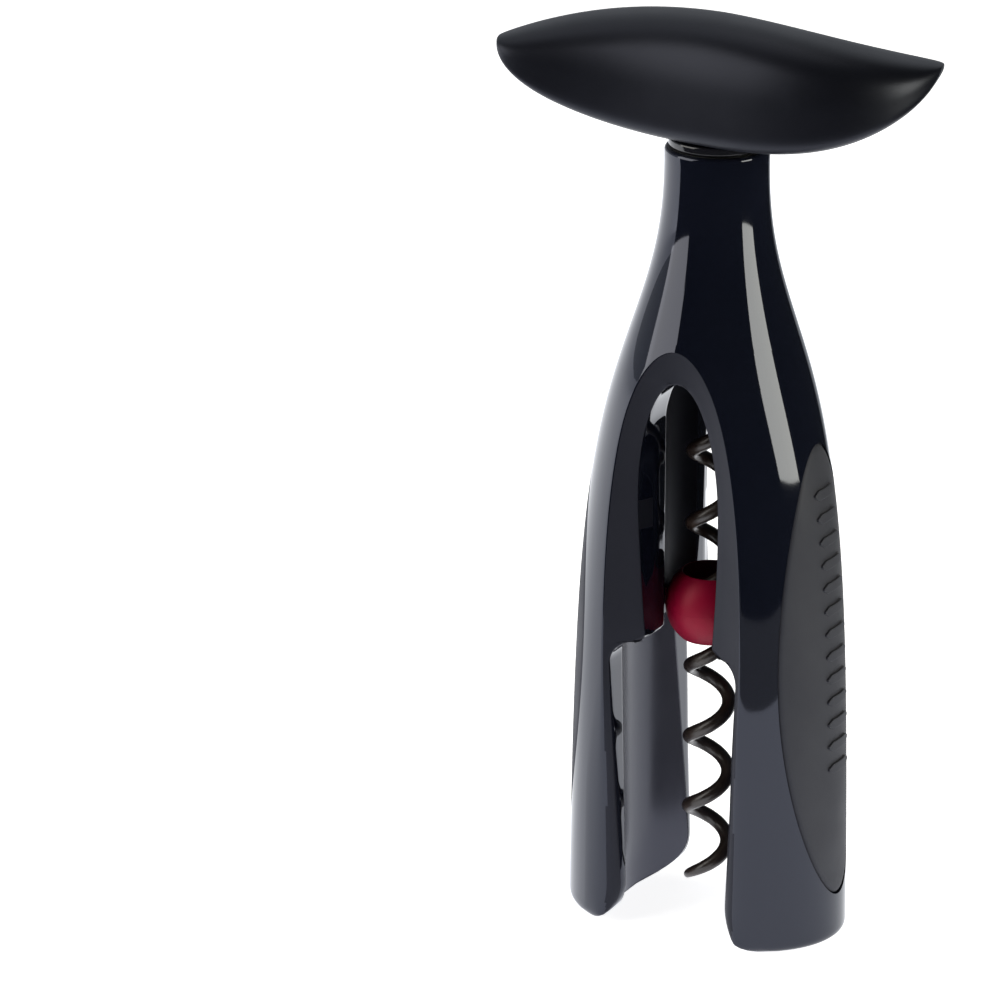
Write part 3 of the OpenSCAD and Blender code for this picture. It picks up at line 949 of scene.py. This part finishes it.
BODY_GLOSS = make_finish("body_gloss", (0.0028, 0.0036, 0.0075), (0.0042, 0.005, 0.0095),
                         (0.03, 0.055), patch=35, grain=1800, grain_height=0.0006,
                         scratch=700, scratch_share=0.1, ripple=70, ripple_share=10,
                         shader={"IOR": 1.5, "Specular Tint": (0.80, 0.83, 1.0, 1)})
BAND_SATIN = make_finish("band_satin", (0.0075, 0.0078, 0.0118), (0.0088, 0.0092, 0.0135),
                         (0.34, 0.40), patch=50, grain=4000, grain_height=0.0012,
                         scratch=900, scratch_share=0.1, ripple=70, ripple_share=6,
                         shader={"Specular IOR Level": 0.22,
                                 "Specular Tint": (0.78, 0.81, 1.0, 1)})
# Same body, painted much lighter than the polished shell: painted reflected light on the
# bottle space's walls
INNER_PAINTED_LIGHT = make_finish("inner_satin_painted_light", (0.052, 0.053, 0.070), (0.060, 0.061, 0.080),
                          (0.20, 0.26), patch=50, grain=3000, grain_height=0.001,
                          scratch=900, scratch_share=0.1, ripple=70, ripple_share=6,
                          shader={"Specular IOR Level": 0.5,
                                  "Specular Tint": (0.80, 0.83, 1.0, 1)})
PAD_RUBBER = make_finish("pad_rubber", (0.0128, 0.0134, 0.0195), (0.0165, 0.0172, 0.0245),
                         (0.58, 0.70), patch=90, grain=5200, grain_height=0.010,
                         grain_rough=0.08, scratch=1200, scratch_share=0.25,
                         shader={"Specular IOR Level": 0.42, "Sheen Weight": 0.04,
                                 "Sheen Roughness": 0.5,
                                 "Specular Tint": (0.86, 0.88, 1.0, 1)})
SOFT_TOUCH = make_finish("soft_touch", (0.0030, 0.0033, 0.0055), (0.0042, 0.0046, 0.0075),
                         (0.36, 0.42), patch=45, grain=6000, grain_height=0.006,
                         grain_rough=0.06, scratch=1000, scratch_share=0.2, ripple=50,
                         ripple_share=1.5,
                         shader={"Specular IOR Level": 0.3,
                                 "Specular Tint": (0.76, 0.80, 1.0, 1)})
WORM_COATING = make_finish("worm_coating", (0.010, 0.0062, 0.005), (0.026, 0.015, 0.010),
                           (0.24, 0.36), patch=260, grain=3000, grain_height=0.012,
                           grain_rough=0.12, scratch=2200, scratch_share=0.6,
                           shader={"Specular IOR Level": 0.6})
BALL_RED = make_finish("ball_red", (0.19, 0.0010, 0.019), (0.24, 0.0016, 0.025),
                       (0.30, 0.38), patch=160, grain=3600, grain_height=0.014,
                       grain_rough=0.14, scratch=1500, scratch_share=0.3,
                       shader={"Specular IOR Level": 0.4,
                               "Specular Tint": (1.0, 0.34, 0.36, 1)})
# The nut's own red, also put inside the ball's bore as painted shade
NUT_RED_AND_BORE_SHADE = make_finish("nut_red", (0.10, 0.003, 0.012), (0.13, 0.005, 0.016), (0.4, 0.5),
                      patch=200, grain=3000)
HUB_GLOSS = make_finish("hub_gloss", (0.005, 0.005, 0.007), (0.008, 0.008, 0.011),
                        (0.08, 0.14), patch=120, grain=2500, grain_height=0.001,
                        scratch_share=0.3)
BUSH_PLASTIC = make_finish("bush_plastic", (0.03, 0.03, 0.033), (0.045, 0.045, 0.05),
                           (0.3, 0.42), patch=150, grain=3200)
CORE_PLASTIC = make_finish("core_plastic", (0.09, 0.09, 0.10), (0.12, 0.12, 0.13),
                           (0.45, 0.55), patch=80, grain=2600)
CARRIER_PLASTIC = make_finish("carrier_plastic", (0.02, 0.02, 0.022), (0.03, 0.03, 0.033),
                              (0.4, 0.5), patch=80, grain=2600)
SEAT_RUBBER = make_finish("seat_rubber", (0.02, 0.02, 0.022), (0.03, 0.03, 0.034),
                          (0.6, 0.75), patch=120, grain=4500, grain_height=0.008)
STEEL = make_finish("steel", (0.55, 0.56, 0.58), (0.42, 0.43, 0.45), (0.2, 0.34),
                    patch=220, grain=3800, grain_height=0.002, scratch=2600,
                    scratch_share=0.7, shader={"Metallic": 1.0})
SOCKET_BRASS = make_finish("socket_brass", (0.62, 0.42, 0.14), (0.42, 0.27, 0.09),
                           (0.22, 0.36), patch=180, grain=3400, grain_height=0.002,
                           scratch=2400, scratch_share=0.6, shader={"Metallic": 1.0})


# ---------------------------------------------------------------- the object's pieces
def paint_bands(shell):
    """The arch bands and the insides are satin, the rest of the body is polished; the bottle
    space's walls are painted a far lighter grey-blue than the body, as painted reflected
    light.
    """
    shell.data.materials.append(BAND_SATIN)
    shell.data.materials.append(INNER_PAINTED_LIGHT)
    for face in shell.data.polygons:
        x, y, z = face.center
        on_band = (z < BAND_TOP_H and abs(face.normal.y) > 0.4
                   and abs(x) < band_edge(z) - 0.15 * MM
                   and abs(y) > scoop_depth(abs(x), z) - 2.5 * MM)
        in_bore = z > ARCH_FOOT_H and math.hypot(x, y) < BORE_R + 0.05 * MM
        if on_band or in_bore:
            face.material_index = 1
        elif z < STOP_H and math.hypot(x, y) < BOTTLE_R + 0.05 * MM:
            # painted reflected light: the bottle space's walls take the much lighter grey-blue
            face.material_index = 2


def paint_ball_bores():
    """The ball's bore is painted in the nut's darker red, as painted shade inside the hole."""
    for name in ("ball_top", "ball_base"):
        mesh = bpy.data.objects[name].data
        mesh.materials.append(NUT_RED_AND_BORE_SHADE)
        for face in mesh.polygons:
            if math.hypot(face.center.x, face.center.y) < BALL_HOLE_R + 0.02 * MM:
                # painted shade: the faces inside the hole take the darker red
                face.material_index = 1


body = build_body()
round_edges(body, BODY_EDGE, 28, 1 * MM)
for side in (1, -1):
    cut_recess(body, side)
smooth(body, 30)
body.name = "body_shell_form"
finish_piece(body, "frame", BODY_GLOSS, "body_gloss", "body_shell")
paint_bands(body)

for side, end in ((1, "right"), (-1, "left")):
    finish_piece(build_pad(side), "frame", PAD_RUBBER, "pad_rubber", "grip_pad_" + end)
    finish_piece(build_ribs(side), "frame", PAD_RUBBER, "pad_rubber")

finish_piece(build_hub(), "handle", HUB_GLOSS, "hub_gloss", "handle_hub")
finish_piece(build_handle(), "handle", SOFT_TOUCH, "soft_touch", "handle_grip")
finish_piece(build_worm(), "handle", WORM_COATING, "worm_coating", "worm")
finish_piece(build_ball_half("ball_top", 1), "ball", BALL_RED, "ball_red", "ball_upper")
finish_piece(build_ball_half("ball_base", -1), "ball", BALL_RED, "ball_red", "ball_lower")
paint_ball_bores()

# The pieces that stay as the CAD part has them, and what each is made of
KEPT = {
    BUSH_PLASTIC: ("neck_bush_upper", "neck_bush_lower", "thrust_washer"),
    STEEL: ("slip_washer", "hub_screws", "worm_pin", "washer_clip"),
    CORE_PLASTIC: ("handle_core",),
    CARRIER_PLASTIC: ("pad_carrier_right", "pad_carrier_left"),
    SEAT_RUBBER: ("bottle_seat",),
    SOCKET_BRASS: ("worm_socket",),
    NUT_RED_AND_BORE_SHADE: ("ball_nut",),
}
for material, names in KEPT.items():
    for name in names:
        mesh = frame["nodes"][name].data
        mesh.materials.clear()
        mesh.materials.append(material)


# ---------------------------------------------------------------- studio
CAMERA_TURN = math.radians(29)
CAMERA_TILT = math.radians(20.1)
CAMERA_AWAY = 0.900
CAMERA_SIDE = -0.037
CAMERA_H = 0.407
LENS_MM = 198
SENSOR_MM = 36
FLOOR_HALF = 3
LIGHTS_AIM_H = 0.06
DIM_SIDE_TURN = math.radians(-151)
RIGHT = Vector((math.cos(CAMERA_TURN), math.sin(CAMERA_TURN), 0))
TOWARD = Vector((math.sin(CAMERA_TURN), -math.cos(CAMERA_TURN), 0))
UP = Vector((0, 0, 1))


def toward(turn, tilt=0.0):
    """Direction turned to the right of the camera's own, seen from above, and tilted up."""
    flat = TOWARD * math.cos(turn) + RIGHT * math.sin(turn)
    return flat * math.cos(tilt) + UP * math.sin(tilt)


def make_camera():
    lens = bpy.data.cameras.new("camera")
    lens.sensor_width = SENSOR_MM
    lens.lens = LENS_MM
    made = bpy.data.objects.new("camera", lens)
    made.location = TOWARD * CAMERA_AWAY + RIGHT * CAMERA_SIDE + UP * CAMERA_H
    look = -TOWARD * math.cos(CAMERA_TILT) - UP * math.sin(CAMERA_TILT)
    made.rotation_euler = look.to_track_quat("-Z", "Y").to_euler()
    bpy.context.scene.collection.objects.link(made)
    bpy.context.scene.camera = made


def plain_material(name, tone, glow):
    made = bpy.data.materials.new(name)
    made.use_nodes = True
    main = made.node_tree.nodes["Principled BSDF"]
    main.inputs["Base Color"].default_value = (*tone, 1)
    main.inputs["Roughness"].default_value = 0.9
    main.inputs["Specular IOR Level"].default_value = 0.0
    main.inputs["Emission Color"].default_value = (*tone, 1)
    main.inputs["Emission Strength"].default_value = glow
    return made


def floor_piece(name, corners, material, height):
    """A flat piece of floor. Its corners are distances towards the camera and right."""
    verts = [tuple(TOWARD * near + RIGHT * side + UP * height) for near, side in corners]
    made = new_object(name, verts, [tuple(range(len(verts)))])
    made.data.materials.append(material)
    return made


def make_floor():
    """The pale floor, and the part of it that the gloss picks up."""
    white = plain_material("white_floor", (0.9, 0.9, 0.905), 1.0)
    pale = plain_material("pale_floor", (0.84, 0.86, 0.91), 1.35)
    far = FLOOR_HALF
    square = [(-far, -far), (-far, far), (far, far), (far, -far)]
    wide = floor_piece("floor", square, white, -0.0003)
    wide.visible_glossy = False
    near = [(0.142, 0.15), (0.142, -0.10), (0.02, -0.26), (0.0, -far), (-far, -far),
            (-far, 0.15)]
    dim = plain_material("dim_floor", (0.5, 0.5, 0.53), 0.05)
    front = [(0.21, 0.15), (0.21, -0.12), (0.142, -0.10), (0.142, 0.15)]
    for name, corners, material in (("floor_sheen", near, pale), ("floor_edge", front, dim)):
        piece = floor_piece(name, corners, material, -0.0002)
        piece.visible_camera = False
        piece.visible_diffuse = False
        piece.visible_shadow = False


def make_softbox(name, turn, tilt, away, wide, high, radiance, tone=(1, 1, 1)):
    lamp = bpy.data.lights.new(name, "AREA")
    lamp.shape = "RECTANGLE"
    lamp.size = wide
    lamp.size_y = high
    lamp.energy = radiance * math.pi * wide * high
    lamp.color = tone
    made = bpy.data.objects.new(name, lamp)
    direction = toward(math.radians(turn), math.radians(tilt))
    made.location = direction * away + UP * LIGHTS_AIM_H
    made.rotation_euler = (-direction).to_track_quat("-Z", "Y").to_euler()
    made.visible_camera = False
    bpy.context.scene.collection.objects.link(made)
    return made


def make_world():
    """Pale surroundings behind the object and dim ones on the camera's side."""
    world = bpy.data.worlds.new("studio")
    bpy.context.scene.world = world
    world.use_nodes = True
    tree = world.node_tree
    link = tree.links.new
    back = tree.nodes["Background"]
    place = tree.nodes.new("ShaderNodeTexCoord")
    side = tree.nodes.new("ShaderNodeVectorMath")
    side.operation = "DOT_PRODUCT"
    side.inputs[1].default_value = toward(DIM_SIDE_TURN)
    link(place.outputs["Generated"], side.inputs[0])
    dim = add_node(tree, "ShaderNodeMapRange", From_Min=0.44, From_Max=0.52,
                   To_Min=0.02, To_Max=0.56)
    link(side.outputs["Value"], dim.inputs["Value"])
    seen = tree.nodes.new("ShaderNodeLightPath")
    pick = tree.nodes.new("ShaderNodeMix")
    link(seen.outputs["Is Camera Ray"], pick.inputs[0])
    link(dim.outputs["Result"], pick.inputs[2])
    pick.inputs[3].default_value = 1.0
    tint = tree.nodes.new("ShaderNodeMix")
    tint.data_type = "RGBA"
    tint.inputs[6].default_value = (0.88, 0.93, 1.0, 1)
    tint.inputs[7].default_value = (1, 1, 1, 1)
    link(seen.outputs["Is Camera Ray"], tint.inputs[0])
    link(tint.outputs[2], back.inputs["Color"])
    link(pick.outputs[0], back.inputs["Strength"])


make_camera()
make_floor()
make_world()
make_softbox("left_box", -76, 24, 1.0, 0.73, 0.90, 3.6, (1.0, 0.98, 0.92))
make_softbox("right_box", 64, 17, 1.0, 0.46, 0.74, 8.8, (1.0, 0.98, 0.80))
make_softbox("top_box", -150, 70, 1.2, 0.8, 0.6, 0.8)
bpy.context.scene.view_settings.view_transform = "Standard"
